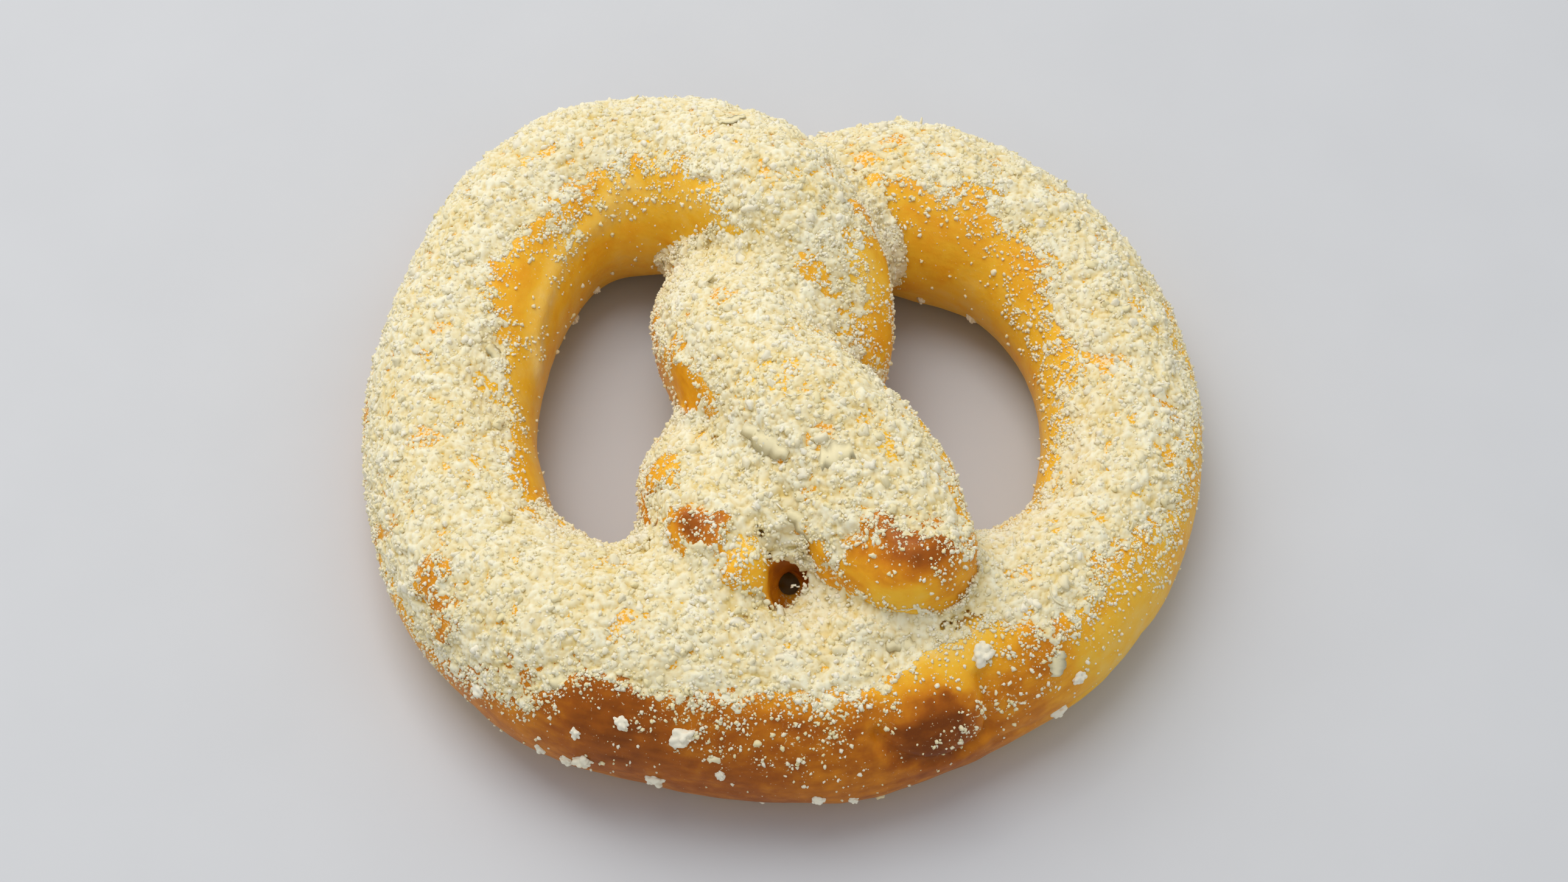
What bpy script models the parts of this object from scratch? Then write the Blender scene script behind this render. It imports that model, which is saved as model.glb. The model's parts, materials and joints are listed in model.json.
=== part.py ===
"""A hand-twisted soft pretzel: one rope of dough, baked into a single solid.

The rope's thick middle is the belly at the front (-Y). From there it runs up both sides and
over two shoulders at the back, and its two strands then wind round each other on the way
forward to the belly, where their round tips are pressed on. Units are metres, +Z is up, and
the pretzel rests on z = 0, centred on the origin.
"""

import math

import bmesh
import bpy
from mathutils import Vector, noise

MM = 0.001

# Driving dimensions
REST_HEIGHT = 0.86  # a lying rope's centre height, as a share of its half height: the rest is the flat base
ROLL_UNEVENNESS = 0.035  # how far the hand-rolled rope strays from its nominal thickness
ROLL_PITCH = 24 * MM  # distance over which that thickness wanders

# The outer loop, nearly a circle seen from above, from the left shoulder over the left side,
# the belly and the right side to the right shoulder. Each row is the bearing in degrees
# (0 = right, 90 = back), the distance from the centre, and the rope's width and height in mm.
LOOP = [
    (125, 67, 34, 34),  # left shoulder
    (138, 66, 33, 33),
    (155, 62, 32, 32),
    (175, 60, 31, 31),
    (192, 59, 32, 32),
    (209, 59, 33, 33),
    (225, 57, 36, 36),  # the belly, fattest to the left of its middle
    (240, 54, 39, 38),
    (257, 52, 37, 36),
    (272, 53, 35, 33),
    (288, 54, 33, 32),
    (304, 54, 32, 32),
    (321, 56, 33, 32),
    (338, 59, 29, 29),
    (355, 60, 29, 29),
    (12, 61, 29, 29),
    (29, 62, 30, 30),
    (46, 61, 32, 32),
    (63, 58, 34, 34),  # right shoulder
]

# The twist: two strands wind half a turn round one axis that runs forward from the far
# crossing, where the left strand is on top, to the near one, where the right strand is.
TWIST_AXIS_X = -2 * MM
TWIST_AXIS_Z = 23 * MM
TWIST_FAR_Y = 40 * MM
TWIST_NEAR_Y = -1 * MM
TWIST_SPREAD = 8.5 * MM  # sideways distance of a strand from the axis
TWIST_LIFT = 10 * MM  # rise of the upper strand above the axis
TWIST_STATIONS = 5
STRAND_WIDTH = 27 * MM
STRAND_HEIGHT = 25.5 * MM
SLUMP_SHARE = 0.75  # how much of the gap below a raised strand its soft underside has sunk into

# Rope between the twist and the loop, and between the twist and the tips: x, y, z of the
# centre, then width and height, all in mm.
LEFT_SHOULDER = [(-11, 50, 25, 30, 30), (-23, 56, 17, 34, 34)]
RIGHT_SHOULDER = [(3, 50, 12, 29, 27), (13, 53, 14, 31, 31)]
LEFT_TIP = [(-8, -36, 30, 17, 16), (-11, -26, 28, 25, 22), (-9, -12, 21, 31, 25)]
RIGHT_TIP = [(3, -10, 36, 28, 24), (10, -18, 35, 30, 24), (16, -28, 33, 31, 24), (22, -37, 34, 23, 19)]

# Resolution
RINGS_PER_STATION = 8
RING_SIDES = 32
TIP_RINGS = 6
FUSE_VOXEL = 1.5 * MM  # touching strands closer than this bake together
SOFTEN_PASSES = 6
FACET_SHARE = 0.13  # share of the fused skin's facets that the finished solid keeps

TRAY_DEPTH = 20 * MM
TRAY_SIDE = 220 * MM

CRUST_COLOUR = (0.80, 0.42, 0.10, 1.0)
CRUST_ROUGHNESS = 0.45


def loop_stations():
    """Stations (centre, half width, half height) of the loop, which lies on the tray all the way."""
    stations = []
    for bearing, distance, width, height in LOOP:
        angle = math.radians(bearing)
        half_height = height * MM / 2
        centre = Vector((math.cos(angle), math.sin(angle), 0)) * distance * MM
        centre.z = REST_HEIGHT * half_height
        stations.append((centre, width * MM / 2, half_height))
    return stations


def placed_stations(rows):
    """Stations from rows of x, y, z, width and height in mm."""
    return [(Vector((x, y, z)) * MM, width * MM / 2, height * MM / 2) for x, y, z, width, height in rows]


def twist_stations(far_phase):
    """One strand's stations through the twist, from the far crossing forward to the near one.
    The phase is the strand's angle round the axis, where 90 degrees is on top."""
    stations = []
    for i in range(TWIST_STATIONS):
        share = i / (TWIST_STATIONS - 1)
        phase = math.radians(far_phase - 180 * share)
        centre = Vector((
            TWIST_AXIS_X + TWIST_SPREAD * math.cos(phase),
            TWIST_FAR_Y + (TWIST_NEAR_Y - TWIST_FAR_Y) * share,
            TWIST_AXIS_Z + TWIST_LIFT * math.sin(phase),
        ))
        stations.append((centre, STRAND_WIDTH / 2, STRAND_HEIGHT / 2))
    return stations


def rope_stations():
    """The whole rope, from the left strand's tip to the right strand's."""
    left_strand = twist_stations(far_phase=90)
    right_strand = twist_stations(far_phase=270)
    return (
        placed_stations(LEFT_TIP)
        + left_strand[::-1]
        + placed_stations(LEFT_SHOULDER)
        + loop_stations()
        + placed_stations(RIGHT_SHOULDER[::-1])
        + right_strand
        + placed_stations(RIGHT_TIP)
    )


def centred(stations):
    """The same stations with the rope's outline, seen from above, centred on the origin."""
    shift = Vector((0, 0, 0))
    for axis in (0, 1):
        lowest = min(centre[axis] - half_width for centre, half_width, _ in stations)
        highest = max(centre[axis] + half_width for centre, half_width, _ in stations)
        shift[axis] = -(lowest + highest) / 2
    return [(centre + shift, half_width, half_height) for centre, half_width, half_height in stations]


def slumped(stations):
    """The same stations, each with the depth that the underside has slumped towards the tray as a
    fourth item. The two tips keep their round undersides."""
    last = len(stations) - 1
    rope = []
    for i, (centre, half_width, half_height) in enumerate(stations):
        gap = max(centre.z - half_height, 0)
        rope.append((centre, half_width, half_height, 0 if i in (0, last) else SLUMP_SHARE * gap))
    return rope


def spline(a, b, c, d, t):
    """Catmull-Rom value between b and c."""
    return (b * 2 + (c - a) * t + (a * 2 - b * 5 + c * 4 - d) * t**2 + (b * 3 - a - c * 3 + d) * t**3) / 2


def smooth_rope(stations):
    """Closely spaced (centre, half width, half height, slump) on a smooth curve through the stations."""
    ends = [stations[0]] + stations + [stations[-1]]
    rope = []
    for i in range(len(stations) - 1):
        for step in range(RINGS_PER_STATION):
            t = step / RINGS_PER_STATION
            rope.append(tuple(spline(*(ends[i + k][item] for k in range(4)), t) for item in range(4)))
    rope.append(stations[-1])
    return rope


def rounded_tip(rope):
    """Rings that close the rope's last ring with a round tip."""
    before = rope[-2][0]
    centre, half_width, half_height, slump = rope[-1]
    direction = (centre - before).normalized()
    tip = []
    for i in range(1, TIP_RINGS + 1):
        angle = math.radians(85) * i / TIP_RINGS
        along = direction * half_height * math.sin(angle)
        taper = math.cos(angle)
        tip.append((centre + along, half_width * taper, half_height * taper, slump * taper))
    return tip


def unevenness(point):
    """How much thicker or thinner than nominal the hand-rolled rope is here."""
    return 1 + ROLL_UNEVENNESS * noise.noise(point / ROLL_PITCH)


def rope_mesh(name, rope):
    """A closed tube along the rope, which runs through itself where strands cross or touch."""
    bm = bmesh.new()
    rings = []
    for i, (centre, half_width, half_height, slump) in enumerate(rope):
        along = (rope[min(i + 1, len(rope) - 1)][0] - rope[max(i - 1, 0)][0]).normalized()
        side = along.cross(Vector((0, 0, 1))).normalized()
        up = side.cross(along)
        ring = []
        for k in range(RING_SIDES):
            turn = math.tau * k / RING_SIDES
            rise = half_height if math.sin(turn) > 0 else half_height + slump
            spoke = side * half_width * math.cos(turn) + up * rise * math.sin(turn)
            ring.append(bm.verts.new(centre + spoke * unevenness(centre + spoke)))
        rings.append(ring)
    for ring, following in zip(rings, rings[1:]):
        for k in range(RING_SIDES):
            nxt = (k + 1) % RING_SIDES
            bm.faces.new((ring[k], ring[nxt], following[nxt], following[k]))
    bm.faces.new(rings[0][::-1])
    bm.faces.new(rings[-1])
    bmesh.ops.recalc_face_normals(bm, faces=bm.faces)
    mesh = bpy.data.meshes.new(name)
    bm.to_mesh(mesh)
    bm.free()
    return mesh


def crust_material():
    """Golden, slightly glossy egg-washed crust."""
    material = bpy.data.materials.new("crust")
    material.use_nodes = True
    shader = material.node_tree.nodes["Principled BSDF"]
    shader.inputs["Base Color"].default_value = CRUST_COLOUR
    shader.inputs["Roughness"].default_value = CRUST_ROUGHNESS
    shader.inputs["Metallic"].default_value = 0.0
    return material


def tray_block():
    """Everything below the baking tray's surface, which cuts the pretzel's flat base."""
    bpy.ops.mesh.primitive_cube_add(size=1, location=(0, 0, -TRAY_DEPTH / 2))
    block = bpy.context.object
    block.name = "tray_block"
    block.scale = (TRAY_SIDE, TRAY_SIDE, TRAY_DEPTH)
    block.hide_render = True
    block.display_type = "WIRE"
    return block


def pretzel(cutter):
    """The baked pretzel: the rope fused with itself where it touches, softened, and flat below."""
    rope = smooth_rope(slumped(centred(rope_stations())))
    rope = rounded_tip(rope[::-1])[::-1] + rope + rounded_tip(rope)
    body = bpy.data.objects.new("pretzel", rope_mesh("pretzel", rope))
    bpy.context.collection.objects.link(body)
    body.data.materials.append(crust_material())

    fuse = body.modifiers.new("fuse", "REMESH")
    fuse.mode = "VOXEL"
    fuse.voxel_size = FUSE_VOXEL
    fuse.use_smooth_shade = True

    soften = body.modifiers.new("soften", "SMOOTH")
    soften.factor = 0.5
    soften.iterations = SOFTEN_PASSES

    facets = body.modifiers.new("facets", "DECIMATE")
    facets.ratio = FACET_SHARE

    base = body.modifiers.new("flat_base", "BOOLEAN")
    base.operation = "DIFFERENCE"
    base.solver = "EXACT"
    base.object = cutter
    return body


for old in list(bpy.data.objects):
    bpy.data.objects.remove(old, do_unlink=True)
pretzel(cutter=tray_block())
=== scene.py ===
# %% [markdown]
# # A soft pretzel under grated cheese
# A soft pretzel is one rope of wheat dough, rolled by hand, twisted, brushed with egg and baked.
# This one then got a thick dusting of finely grated hard cheese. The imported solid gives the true
# size and the main forms. This lesson adds what the eye looks for in food: a crust that browns
# where the oven's heat reached it, a crumbly blanket of cheese, and thousands of loose crumbs.

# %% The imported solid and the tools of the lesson
import json
import math

import bmesh
import bpy
import numpy as np
from mathutils import Euler, Matrix, Vector
from mathutils.bvhtree import BVHTree

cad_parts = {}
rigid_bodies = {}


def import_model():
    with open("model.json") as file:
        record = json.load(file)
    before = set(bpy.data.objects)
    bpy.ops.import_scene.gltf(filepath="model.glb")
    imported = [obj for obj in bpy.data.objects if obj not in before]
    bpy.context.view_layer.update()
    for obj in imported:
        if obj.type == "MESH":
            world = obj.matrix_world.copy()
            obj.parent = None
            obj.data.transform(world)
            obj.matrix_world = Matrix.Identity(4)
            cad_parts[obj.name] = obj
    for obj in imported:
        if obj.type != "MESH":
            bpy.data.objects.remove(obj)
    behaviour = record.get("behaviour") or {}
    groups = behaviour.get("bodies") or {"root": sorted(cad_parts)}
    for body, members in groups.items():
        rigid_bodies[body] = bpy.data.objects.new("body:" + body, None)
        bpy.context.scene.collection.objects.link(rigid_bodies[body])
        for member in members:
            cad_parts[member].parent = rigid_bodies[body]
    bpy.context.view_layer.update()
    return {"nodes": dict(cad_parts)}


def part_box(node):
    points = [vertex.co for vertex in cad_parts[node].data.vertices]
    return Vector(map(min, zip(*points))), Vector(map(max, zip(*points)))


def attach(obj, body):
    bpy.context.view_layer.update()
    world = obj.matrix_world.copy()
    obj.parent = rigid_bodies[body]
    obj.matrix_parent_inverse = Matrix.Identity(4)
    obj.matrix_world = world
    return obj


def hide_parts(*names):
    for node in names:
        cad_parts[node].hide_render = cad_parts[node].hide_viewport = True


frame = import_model()
MM = 0.001
BODY = "root"
solid = frame["nodes"]["pretzel"]
low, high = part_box("pretzel")
print("packed solid, mm:", [round((b - a) / MM, 1) for a, b in zip(low, high)])

# %% [markdown]
# ## Small helpers
# Colours are picked as the hex values that a paint program shows. Light adds up in linear
# values, so one function turns hex into linear. One more function adds a node, with its
# settings and its links, because every material and every scatter below is a tree of nodes.


# %% Colour and node helpers
def colour(hex_value):
    """Linear RGBA of an sRGB colour written as RRGGBB."""
    channels = [int(hex_value[i : i + 2], 16) / 255 for i in (0, 2, 4)]
    linear = [c / 12.92 if c <= 0.04045 else ((c + 0.055) / 1.055) ** 2.4 for c in channels]
    return (*linear, 1.0)


def in_use(sockets, key=None):
    """The socket with that name or number that the node's settings leave in use, or the first."""
    if isinstance(key, int):
        return sockets[key]
    return next(s for s in sockets if s.enabled and key in (None, s.name))


def add(tree, kind, inputs=None, **settings):
    """A new node of that kind. What goes into an input is a plain value, the socket that feeds
    it, or the node whose first output does."""
    node = tree.nodes.new(kind)
    for name, value in settings.items():
        setattr(node, name, value)
    for key, value in (inputs or {}).items():
        target = in_use(node.inputs, key)
        if isinstance(value, bpy.types.Node):
            value = in_use(value.outputs)
        if isinstance(value, bpy.types.NodeSocket):
            tree.links.new(value, target)
        else:
            target.default_value = value
    return node


def set_ramp(node, *stops):
    """Gives a colour ramp its stops, each a position and a hex colour."""
    elements = node.color_ramp.elements
    while len(elements) < len(stops):
        elements.new(1.0)
    for element, (position, hex_value) in zip(elements, stops):
        element.position = position
        element.color = colour(hex_value)


print("half-way grey in linear light:", round(colour("808080")[0], 3))


# %% Mesh helpers
def points_of(mesh):
    """Vertex positions as an array, in mm."""
    flat = np.empty(len(mesh.vertices) * 3, np.float32)
    mesh.vertices.foreach_get("co", flat)
    return flat.reshape(-1, 3).astype(float) / MM


def normals_of(mesh):
    """Vertex normals as an array."""
    flat = np.empty(len(mesh.vertices) * 3, np.float32)
    mesh.vertex_normals.foreach_get("vector", flat)
    return flat.reshape(-1, 3).astype(float)


def set_points(mesh, points):
    """Moves the vertices to these positions, in mm."""
    mesh.vertices.foreach_set("co", (points * MM).astype(np.float32).ravel())
    mesh.update()


def set_attribute(mesh, name, values):
    """Stores one number for each vertex, for materials and scatters to read."""
    layer = mesh.attributes.get(name) or mesh.attributes.new(name, "FLOAT", "POINT")
    layer.data.foreach_set("value", values.astype(np.float32))


def smoothstep(start, end, values):
    """0 below start, 1 above end, and an even curve between."""
    t = np.clip((values - start) / (end - start), 0, 1)
    return t * t * (3 - 2 * t)


def shown_mesh(obj, name):
    """The object's mesh with its modifiers worked in, as a new plain mesh."""
    graph = bpy.context.evaluated_depsgraph_get()
    plain = bpy.data.meshes.new_from_object(
        obj.evaluated_get(graph), preserve_all_data_layers=True, depsgraph=graph
    )
    plain.name = name
    return plain


def with_modifiers(mesh, name, *modifiers):
    """A new mesh: the given one after these modifiers, each a type and its settings."""
    work = bpy.data.objects.new(name + "_work", mesh)
    bpy.context.collection.objects.link(work)
    for kind, settings in modifiers:
        modifier = work.modifiers.new(kind.lower(), kind)
        for key, value in settings.items():
            setattr(modifier, key, value)
    result = shown_mesh(work, name)
    bpy.data.objects.remove(work)
    return result


def triangles_in(mesh):
    """How many triangles the mesh has."""
    return sum(len(p.vertices) - 2 for p in mesh.polygons)


def place(name, mesh, slot, *materials):
    """Shows a finished mesh as a piece that rides on the body."""
    mesh.name = name
    mesh.materials.clear()
    for material in materials:
        mesh.materials.append(material)
    piece = bpy.data.objects.new(name, mesh)
    bpy.context.collection.objects.link(piece)
    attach(piece, BODY)
    print(f"{name}: {triangles_in(mesh)} triangles")
    return piece


print("the packed solid has", triangles_in(solid.data), "triangles")

# %% [markdown]
# ## Noise by the array
# Nothing about food repeats, so most of the forms below are pushed about by smooth noise. It is
# worked out for all the points at once with numpy, because asking for it point by point is slow.
# Packed crumbs get a noise of their own: the upper side of a heap of balls of random size.

# %% Noise helpers
RANDOM_TABLE = np.random.default_rng(11).random((4096, 3))
FULL_SWING = 1.7  # brings the noise to about -1 to 1


def scramble(cells, seed):
    """Three repeatable numbers between 0 and 1 for each whole-numbered cell of space. Primes
    spread neighbouring cells over the table."""
    mixed = cells[:, 0] * 7919 + cells[:, 1] * 104729 + cells[:, 2] * 1299709 + seed * 15485863
    return RANDOM_TABLE[(mixed ^ (mixed >> 9)) & 4095]


def wander(points, size, seed=0, octaves=1):
    """Smooth noise, about -1 to 1, whose lumps are size mm across."""
    total = np.zeros(len(points))
    for octave in range(octaves):
        scaled = points / size * 2**octave
        cell = np.floor(scaled).astype(int)
        part = scaled - cell
        fade = part**3 * (part * (part * 6 - 15) + 10)
        for corner in np.ndindex(2, 2, 2):
            slope = scramble(cell + corner, seed + 31 * octave) * 2 - 1
            share = np.prod(np.where(corner, fade, 1 - fade), axis=1)
            total += FULL_SWING * share * ((part - corner) * slope).sum(1) / 2**octave
    return total


def heap(points, size, seed):
    """Relief of packed balls up to size mm across, from 0 in the gaps to about 1 on top."""
    scaled = points / size
    cell = np.floor(scaled).astype(int)
    top = np.zeros(len(points))
    for corner in np.ndindex(3, 3, 3):
        around = cell + corner - 1
        ball = scramble(around, seed)
        reach = 0.55 + 0.45 * scramble(around, seed + 1)[:, 0]
        top = np.maximum(top, reach**2 - ((around + ball - scaled) ** 2).sum(1))
    return np.sqrt(top)


trial = heap(np.random.default_rng(1).random((2000, 3)) * 50, 1.0, 3)
print("relief of packed balls: mean", round(float(trial.mean()), 2), "most", round(float(trial.max()), 2))

# %% [markdown]
# ## The dough's skin
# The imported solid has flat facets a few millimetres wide. Baked dough has none: it swells
# until its skin is taut and even. A voxel remesh gives a close, even net of quads over the
# same form, and a smoothing pass rounds the facets off. All else is built on this skin.

# %% Remesh and smooth the solid
SKIN_VOXEL = 0.85 * MM
FACET_SMOOTHING = 24


def merged_copy(mesh):
    """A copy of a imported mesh, whose loose triangles are joined at their corners."""
    bm = bmesh.new()
    bm.from_mesh(mesh)
    bmesh.ops.remove_doubles(bm, verts=bm.verts, dist=0.01 * MM)
    merged = bpy.data.meshes.new("merged")
    bm.to_mesh(merged)
    bm.free()
    return merged


def remesh(voxel, passes):
    """An even voxel remesh and smoothing after it, as settings for with_modifiers."""
    return (
        ("REMESH", {"mode": "VOXEL", "voxel_size": voxel, "use_smooth_shade": True}),
        ("SMOOTH", {"factor": 0.5, "iterations": passes}),
    )


skin = with_modifiers(merged_copy(solid.data), "skin", *remesh(SKIN_VOXEL, passes=FACET_SMOOTHING))
print("skin:", len(skin.vertices), "vertices")

# %% [markdown]
# ## Where the cheese lies
# Cheese that is sprinkled from above stays where the dough faces up and rolls off where it
# is steep. Here it was thrown from a little behind, and the outer shoulders of the rope hold
# more of it than its inner walls. Where crumbs meet a hollow they pile up, and a few patches
# stayed bare. One function turns a point and its normal into a number for how well cheese stays.

# %% The cover of cheese
SPRINKLE_FROM = np.array([0.0, 0.33, 1.0])
FAR_LEFT = (-0.6, 0.8)  # the outer shoulders on this side hold the most
MIDDLE = 25  # mm; nearer the centre than this, a side counts less and less as an outer one
BARE_SPOTS = [  # x, y, z and radius in mm, and how thoroughly the cheese is missing
    (-18, -4, 32, 7.0, 0.8),  # the left bulge of the twist
    (-20, -20, 34, 6.0, 1.0),  # the left end's flank
    (-12, -34, 38, 5.0, 0.95),  # the left tip's brown cap
    (-17, -33, 36, 4.5, 0.95),
    (-5, -41, 36, 6.0, 0.6),  # the left tip's face
    (17, -40, 43, 6.0, 0.8),  # the right tip's brown cap
    (21, -41, 43, 6.0, 0.6),
    (26, -41, 42, 6.0, 0.8),
    (14, -43, 39, 4.5, 0.8),
    (20, -46, 38, 7.0, 0.8),
    (18, 11, 27, 6.0, 0.6),  # the right strand's flank
    (18, 23, 33, 7.0, 0.7),
    (16, 33, 36, 5.0, 0.5),
    (-12, 35, 40, 6.0, 0.4),
    (26, -57, 27, 10.0, 1.3),  # the golden patch on the belly, right of its middle
    (37, -53, 27, 9.0, 0.9),
    (50, -48, 24, 9.0, 0.6),
    (58, -36, 25, 12.0, 0.8),  # the right end of the belly
    (64, -26, 22, 8.0, 0.3),
    (74, -5, 16, 9.0, 0.4),
    (19, -65, 26, 9.0, 0.9),  # the front of the belly, from right to left
    (9, -66, 26, 9.0, 0.6),
    (-2, -66, 27, 9.0, 0.5),
    (-14, -65, 28, 9.0, 0.4),
    (-24, -66, 27, 9.0, 0.4),
    (-30, -63, 28, 8.0, 0.7),
    (-37, -62, 24, 8.0, 0.6),
    (-47, 22, 28, 10.0, 0.9),  # the left arch's inner shoulder
    (-42, 34, 30, 6.0, 0.6),
    (-28, 46, 31, 7.0, 0.5),
    (-44, -12, 22, 8.0, 0.6),
    (-62, 33, 27, 6.0, 0.45),
    (34, 42, 30, 14.0, 0.6),  # the right arch, dusted thinly from its ridge on
    (20, 44, 28, 8.0, 0.5),
    (44, 28, 25, 10.0, 0.5),
    (-61, -37, 26, 7.0, 1.0),
    (-56, -45, 25, 6.0, 0.9),
    (-44, -17, 24, 6.0, 0.6),
    (6, -40, 36, 3.5, 0.9),
    (-4, -35, 37, 4.0, 0.5),
    (11, -36, 43, 4.0, 0.5),
    (34, -49, 29, 6.0, 0.4),
    (70, -14, 21, 7.0, 0.3),
    (-43, 31, 27, 7.0, 0.4),  # more of the left arch's inner shoulder
    (-45, 6, 20, 8.0, 0.6),
    (-51, 29, 30, 6.0, 0.3),
    (-40, 40, 29, 6.0, 0.3),
    (-18, 44, 37, 6.0, 0.3),
    (-18, 34, 22, 6.0, 0.6),
    (18, 26, 34, 6.0, 0.4),  # more of the right strand and arch
    (50, 10, 23, 7.0, 0.4),
    (35, 43, 30, 7.0, 0.2),
    (62, -40, 12, 8.0, 0.4),
    (71, -23, 14, 8.0, 0.3),
    (-58, -42, 25, 7.0, 0.3),  # more of the belly's front
    (-19, -62, 30, 7.0, 0.3),
    (-1, -62, 29, 7.0, 0.3),
    (9, -61, 29, 7.0, 0.3),
    (-20, -16, 32, 6.0, 0.4),
]
OPENING = (0, -41, 31, 3.5, 2.6)  # the small opening between the tips stays free
FULL_SPOTS = [  # where it piles up
    (-2, -27, 38, 11.0, 0.9),  # the valley between the two strands' ends
    (-7, -14, 40, 9.0, 0.9),
    (-6, 28, 41, 14.0, 0.9),  # the upper crossing's left side
    (20, -50, 32, 8.0, 0.9),  # the heap below the right tip
    (-57, -50, 19, 17.0, 0.8),  # the lower left flank
    (-66, -30, 22, 12.0, 0.6),
    (-44, -59, 24, 8.0, 0.4),
    (-71, -8, 20, 14.0, 0.5),
    (6, -42, 32, 7.0, 0.8),
    (17, 5, 25, 9.0, 0.8),
    (-15, 1, 40, 6.0, 0.5),
    (-24, -28, 31, 8.0, 0.7),
    (48, -46, 26, 6.0, 0.2),
    (-12, -44, 33, 8.0, 0.3),
    (8, -37, 38, 5.0, 0.8),  # crumbs cling to the left flank of the right tip
    (10, -42, 33, 5.0, 0.7),
    (14, -45, 31, 4.5, 0.8),
    (-39, -60, 27, 6.0, 0.6),
    (9, -63, 28, 6.0, 0.4),
    (41, 24, 17, 9.0, 0.6),  # the right arch's inner wall
    (46, 12, 16, 8.0, 0.5),
    (-40, 35, 26, 6.0, 0.5),
    (-18, -56, 32, 11.0, 0.3),  # along the top of the belly
    (0, -54, 31, 11.0, 0.4),
    (15, -53, 30, 8.0, 0.4),
]


def near(points, spot):
    """1 at a spot's centre, falling to 0 at its radius, with a ragged edge."""
    x, y, z, radius, strength = spot
    return strength * (1 - smoothstep(0.3, 1.1, np.linalg.norm(points - (x, y, z), axis=1) / radius))


def ragged(points):
    """The points pushed about by 1 to 2 mm, so that a spot measured from them has a ragged edge."""
    push = [wander(points, 4.5, seed=40 + axis, octaves=2) for axis in range(3)]
    return points + 1.6 * np.stack(push, axis=1)


def outward_share(points, normals):
    """How far a normal points away from the pretzel's middle, -1 to 1."""
    radial = points[:, :2] / np.maximum(np.linalg.norm(points[:, :2], axis=1), MIDDLE)[:, None]
    return (normals[:, :2] * radial).sum(1)


def cheese_hold(points, normals):
    """How well a place holds cheese: bare below 0.25, all covered above 0.75."""
    facing = normals @ (SPRINKLE_FROM / np.linalg.norm(SPRINKLE_FROM))
    outward = outward_share(points, normals)
    away = points[:, :2] @ FAR_LEFT / np.maximum(np.linalg.norm(points[:, :2], axis=1), MIDDLE)
    shoulder = smoothstep(0.3, 0.95, outward) * smoothstep(-0.3, 0.3, away)
    facing = facing + 0.16 * outward + 0.26 * shoulder
    facing = facing + 0.09 * wander(points, 11, seed=1) + 0.06 * wander(points, 3.6, seed=2)
    uneven = ragged(points)
    for spot in BARE_SPOTS:
        facing = facing - 0.45 * near(uneven, spot)
    for spot in FULL_SPOTS:
        facing = facing + 0.45 * near(uneven, spot)
    return facing - near(uneven, OPENING) - 0.6 * (1 - smoothstep(1, 7, points[:, 2]))


skin_points = points_of(skin)
skin_normals = normals_of(skin)
skin_hold = cheese_hold(skin_points, skin_normals)
print("share of the skin under cheese:", round(float((skin_hold > 0.7).mean()), 3))

# %% [markdown]
# ## The dough piece
# Where cheese will lie, the dough sits a little lower, because the solid's outline counts
# the cheese. Hand rolling leaves soft waves, and one fold of skin runs down the belly at the
# right, where the rope was pinched. How brown each place baked is worked out here too, as a
# number on each vertex: flanks that face outwards, tops and the belly's front brown most,
# inner walls stay golden, the foot and the right rim stay pale, and the tips are nearly burnt.
# The same number darkens the walls of the small opening between the tips as painted shade.

# %% Dough form
CHEESE_DEPTH = 1.2  # mm between the dough and the solid's surface under full cover
# On the left arch's inner wall the skin is stretched into a low ridge, which stays pale.
PALE_RIDGE = [(-29, 45, 29), (-33, 40, 25), (-40, 33, 24), (-43, 23, 23), (-44, 16, 22), (-43, 11, 19)]
CREASES = [  # points in mm along each, its height (negative is a groove) and its width in mm
    ([(33, -56, 26), (34, -58, 24), (35, -60, 20), (35, -62, 17), (30, -65, 15)], -1.9, 1.2),
    ([(30, -65, 15), (24, -68, 17), (19, -68, 20), (16, -66, 24)], -1.3, 1.2),
    ([(16, -66, 24), (16, -67, 22)], -0.9, 1.6),
    ([(36, -62, 14), (46, -56, 11), (56, -47, 10), (63, -38, 9)], -0.5, 0.8),
    (PALE_RIDGE, 0.6, 1.8),
    ([(-15, 40, 33), (-14, 38, 39), (-12, 36, 42)], -1.0, 1.2),
    ([(1, -38, 34), (1, -41, 30), (1, -43, 26)], -2.2, 3.6),  # widens the opening between the tips
]
LOBES = [  # x, y, z and radius in mm of soft swellings, and how far they stand out
    (26, -63, 21, 6.0, 0.9),  # left of the crease on the belly
    (44, -52, 22, 8.0, 0.5),
]


def distance_to_path(points, path):
    """Distance in mm from each point to a line through the path's points."""
    nearest = np.full(len(points), 1e9)
    for start, end in zip(path, path[1:]):
        start, run = np.array(start, float), np.array(end, float) - np.array(start, float)
        share = np.clip((points - start) @ run / (run @ run), 0, 1)
        nearest = np.minimum(nearest, np.linalg.norm(points - start - share[:, None] * run, axis=1))
    return nearest


def dough_relief(points):
    """How far the dough's surface stands out from the even skin, in mm."""
    relief = 0.35 * wander(points, 14, seed=3) + 0.12 * wander(points, 4.5, seed=4)
    for x, y, z, radius, rise in LOBES:
        distance = np.linalg.norm(points - (x, y, z), axis=1)
        relief = relief + rise * np.exp(-((distance / radius) ** 2))
    for path, rise, width in CREASES:
        relief = relief + rise * np.exp(-((distance_to_path(points, path) / width) ** 2))
    return relief


def dough_height(points, hold):
    """How far the dough stands out from the solid's surface, in mm; nothing changes at the foot."""
    above_foot = smoothstep(0.5, 6, points[:, 2])
    return (dough_relief(points) - CHEESE_DEPTH * smoothstep(0.45, 0.75, hold)) * above_foot


dough_rise = dough_height(skin_points, skin_hold)
dough_points = skin_points + skin_normals * dough_rise[:, None]
print("dough against the solid, mm:", round(dough_rise.min(), 2), "to", round(dough_rise.max(), 2))
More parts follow.
